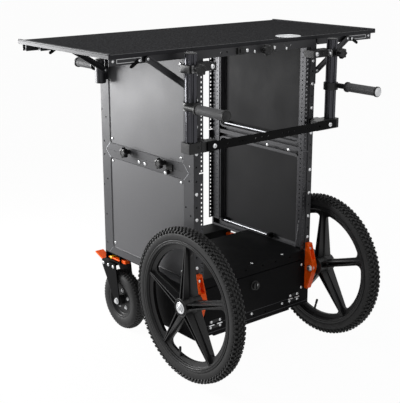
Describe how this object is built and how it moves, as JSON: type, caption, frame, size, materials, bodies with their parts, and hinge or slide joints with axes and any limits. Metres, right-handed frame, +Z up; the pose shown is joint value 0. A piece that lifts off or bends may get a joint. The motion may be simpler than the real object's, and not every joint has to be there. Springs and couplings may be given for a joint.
{
  "type": "camera cart",
  "caption": "Rack-bay camera cart with fold-out carpeted work top, post-mounted grip handles, large spoked front wheels and braked swivel rear casters.",
  "frame": {"origin": "on the floor, in the middle of the ground rectangle the cart covers", "axes": "+X along the work top, -Y out of the open rack front with the large wheels, +Z up"},
  "size_m": [1.146, 0.908, 1.0821],
  "materials": {
    "powder_coat": "fine-textured black powder coat on folded steel sheet",
    "panel_skin": "satin dark grey composite panel",
    "rail_anodised": "black anodised extrusion",
    "carpet_board": "plywood board with a dark needle-felt carpet bonded on top",
    "edge_trim": "satin anodised edge channel",
    "moulded_black": "glass-filled black nylon",
    "grip_rubber": "matt black grip rubber",
    "tyre_rubber": "treaded black rubber",
    "orange_anodised": "bright orange anodised look",
    "bright_steel": "zinc plated and brushed steel"
  },
  "bodies": {
    "cart": {"side_frame_lower_right": "powder_coat", "side_frame_lower_left": "powder_coat", "side_frame_upper_right": "powder_coat", "side_frame_upper_left": "powder_coat", "side_panel_lower_right": "panel_skin", "side_panel_lower_left": "panel_skin", "side_panel_upper_right": "panel_skin", "side_panel_upper_left": "panel_skin", "rack_rail_front_right": "rail_anodised", "rack_rail_front_left": "rail_anodised", "rack_rail_rear_right": "rail_anodised", "rack_rail_rear_left": "rail_anodised", "top_frame": "powder_coat", "table_centre": "carpet_board", "post_front_right": "rail_anodised", "post_front_left": "rail_anodised", "post_rear_right": "rail_anodised", "post_rear_left": "rail_anodised", "upper_clamp_right": "moulded_black", "upper_clamp_left": "moulded_black", "lower_clamp_right": "moulded_black", "lower_clamp_left": "moulded_black", "accessory_bar": "powder_coat", "handle_rear_right": "grip_rubber", "handle_rear_left": "grip_rubber", "tie_rod_lower": "bright_steel", "tie_rod_upper": "bright_steel", "base_chassis": "powder_coat", "base_lid": "powder_coat", "axle_bracket_right": "orange_anodised", "axle_bracket_left": "orange_anodised"},
    "leaf_right": {"table_leaf_right": "carpet_board"},
    "leaf_left": {"table_leaf_left": "carpet_board"},
    "brace_front_right": {"brace_front_right": "powder_coat"},
    "brace_front_left": {"brace_front_left": "powder_coat"},
    "brace_rear_right": {"brace_rear_right": "powder_coat"},
    "brace_rear_left": {"brace_rear_left": "powder_coat"},
    "catch_front_right": {"catch_front_right": "powder_coat"},
    "catch_front_left": {"catch_front_left": "powder_coat"},
    "catch_rear_right": {"catch_rear_right": "powder_coat"},
    "catch_rear_left": {"catch_rear_left": "powder_coat"},
    "handle_right": {"handle_front_right": "grip_rubber"},
    "handle_left": {"handle_front_left": "grip_rubber"},
    "clamp_knob_right": {"clamp_knob_right": "moulded_black"},
    "clamp_knob_left": {"clamp_knob_left": "moulded_black"},
    "top_knob": {"top_knob": "moulded_black"},
    "side_knob_front": {"side_knob_front": "moulded_black"},
    "side_knob_rear": {"side_knob_rear": "moulded_black"},
    "door": {"base_door": "panel_skin"},
    "dial": {"lock_dial": "moulded_black"},
    "wheel_right": {"tyre_right": "tyre_rubber", "rim_right": "moulded_black"},
    "wheel_left": {"tyre_left": "tyre_rubber", "rim_left": "moulded_black"},
    "caster_right": {"caster_fork_right": "powder_coat"},
    "caster_left": {"caster_fork_left": "powder_coat"},
    "caster_wheel_right": {"caster_wheel_right": "tyre_rubber"},
    "caster_wheel_left": {"caster_wheel_left": "tyre_rubber"},
    "pedal_right": {"brake_pedal_right": "orange_anodised"},
    "pedal_left": {"brake_pedal_left": "orange_anodised"}
  },
  "joints": [
    {"name": "leaf_right_fold", "type": "hinge", "parent": "cart", "child": "leaf_right", "pos_m": [0.276, 0.095, 1.0456], "axis": [0, 1, 0], "range_deg": [0, 62]},
    {"name": "leaf_left_fold", "type": "hinge", "parent": "cart", "child": "leaf_left", "pos_m": [-0.276, 0.095, 1.0456], "axis": [0, -1, 0], "range_deg": [0, 62]},
    {"name": "brace_front_right_swing", "type": "hinge", "parent": "cart", "child": "brace_front_right", "pos_m": [0.282, -0.1615, 0.962], "axis": [0, 1, 0], "range_deg": [0, 81]},
    {"name": "brace_front_left_swing", "type": "hinge", "parent": "cart", "child": "brace_front_left", "pos_m": [-0.282, -0.1615, 0.962], "axis": [0, -1, 0], "range_deg": [0, 81]},
    {"name": "brace_rear_right_swing", "type": "hinge", "parent": "cart", "child": "brace_rear_right", "pos_m": [0.288, 0.284, 0.967], "axis": [0, 1, 0], "range_deg": [0, 81]},
    {"name": "brace_rear_left_swing", "type": "hinge", "parent": "cart", "child": "brace_rear_left", "pos_m": [-0.288, 0.284, 0.967], "axis": [0, -1, 0], "range_deg": [0, 81]},
    {"name": "catch_front_right_lift", "type": "hinge", "parent": "leaf_right", "child": "catch_front_right", "pos_m": [0.4594, -0.1555, 1.058], "axis": [0, -1, 0], "range_deg": [0, 30]},
    {"name": "catch_front_left_lift", "type": "hinge", "parent": "leaf_left", "child": "catch_front_left", "pos_m": [-0.4594, -0.1555, 1.058], "axis": [0, 1, 0], "range_deg": [0, 30]},
    {"name": "catch_rear_right_lift", "type": "hinge", "parent": "leaf_right", "child": "catch_rear_right", "pos_m": [0.4685, 0.29, 1.058], "axis": [0, -1, 0], "range_deg": [0, 30]},
    {"name": "catch_rear_left_lift", "type": "hinge", "parent": "leaf_left", "child": "catch_rear_left", "pos_m": [-0.4685, 0.29, 1.058], "axis": [0, 1, 0], "range_deg": [0, 30]},
    {"name": "handle_right_slide", "type": "slide", "parent": "cart", "child": "handle_right", "axis": [0, 0, 1], "range_m": [-0.095, 0.08]},
    {"name": "handle_left_slide", "type": "slide", "parent": "cart", "child": "handle_left", "axis": [0, 0, 1], "range_m": [-0.095, 0.08]},
    {"name": "clamp_knob_right_turn", "type": "hinge", "parent": "cart", "child": "clamp_knob_right", "pos_m": [0.307, -0.25, 1.0256], "axis": [0, -1, 0], "range_deg": [0, 270]},
    {"name": "clamp_knob_left_turn", "type": "hinge", "parent": "cart", "child": "clamp_knob_left", "pos_m": [-0.307, -0.25, 1.0256], "axis": [0, -1, 0], "range_deg": [0, 270]},
    {"name": "top_knob_turn", "type": "hinge", "parent": "cart", "child": "top_knob", "pos_m": [0.02, -0.18, 1.0531], "axis": [0, -1, 0], "range_deg": [0, 270]},
    {"name": "side_knob_front_turn", "type": "hinge", "parent": "cart", "child": "side_knob_front", "pos_m": [-0.29, -0.017, 0.6948], "axis": [-1, 0, 0], "range_deg": [0, 270]},
    {"name": "side_knob_rear_turn", "type": "hinge", "parent": "cart", "child": "side_knob_rear", "pos_m": [-0.29, 0.184, 0.6948], "axis": [-1, 0, 0], "range_deg": [0, 270]},
    {"name": "door_drop", "type": "hinge", "parent": "cart", "child": "door", "pos_m": [0, -0.17, 0.1498], "axis": [1, 0, 0], "range_deg": [0, 90]},
    {"name": "dial_turn", "type": "hinge", "parent": "door", "child": "dial", "pos_m": [0, -0.18, 0.245], "axis": [0, -1, 0], "range_deg": [0, 90]},
    {"name": "wheel_right_spin", "type": "hinge", "parent": "cart", "child": "wheel_right", "pos_m": [0.31, -0.194, 0.26], "axis": [1, 0, 0], "continuous": true},
    {"name": "wheel_left_spin", "type": "hinge", "parent": "cart", "child": "wheel_left", "pos_m": [-0.31, -0.194, 0.26], "axis": [1, 0, 0], "continuous": true},
    {"name": "caster_right_swivel", "type": "hinge", "parent": "cart", "child": "caster_right", "pos_m": [0.233, 0.332, 0.25], "axis": [0, 0, 1], "continuous": true},
    {"name": "caster_left_swivel", "type": "hinge", "parent": "cart", "child": "caster_left", "pos_m": [-0.233, 0.332, 0.25], "axis": [0, 0, 1], "continuous": true},
    {"name": "caster_wheel_right_spin", "type": "hinge", "parent": "caster_right", "child": "caster_wheel_right", "pos_m": [0.233, 0.287, 0.1125], "axis": [1, 0, 0], "continuous": true},
    {"name": "caster_wheel_left_spin", "type": "hinge", "parent": "caster_left", "child": "caster_wheel_left", "pos_m": [-0.233, 0.287, 0.1125], "axis": [1, 0, 0], "continuous": true},
    {"name": "pedal_right_press", "type": "hinge", "parent": "caster_right", "child": "pedal_right", "pos_m": [0.233, 0.371, 0.2297], "axis": [-1, 0, 0], "range_deg": [0, 24]},
    {"name": "pedal_left_press", "type": "hinge", "parent": "caster_left", "child": "pedal_left", "pos_m": [-0.233, 0.371, 0.2297], "axis": [-1, 0, 0], "range_deg": [0, 24]}
  ],
  "couplings": [
    {"joint": "brace_front_right_swing", "follows": "leaf_right_fold", "ratio": 1.3},
    {"joint": "brace_rear_right_swing", "follows": "leaf_right_fold", "ratio": 1.3},
    {"joint": "brace_front_left_swing", "follows": "leaf_left_fold", "ratio": 1.3},
    {"joint": "brace_rear_left_swing", "follows": "leaf_left_fold", "ratio": 1.3}
  ]
}
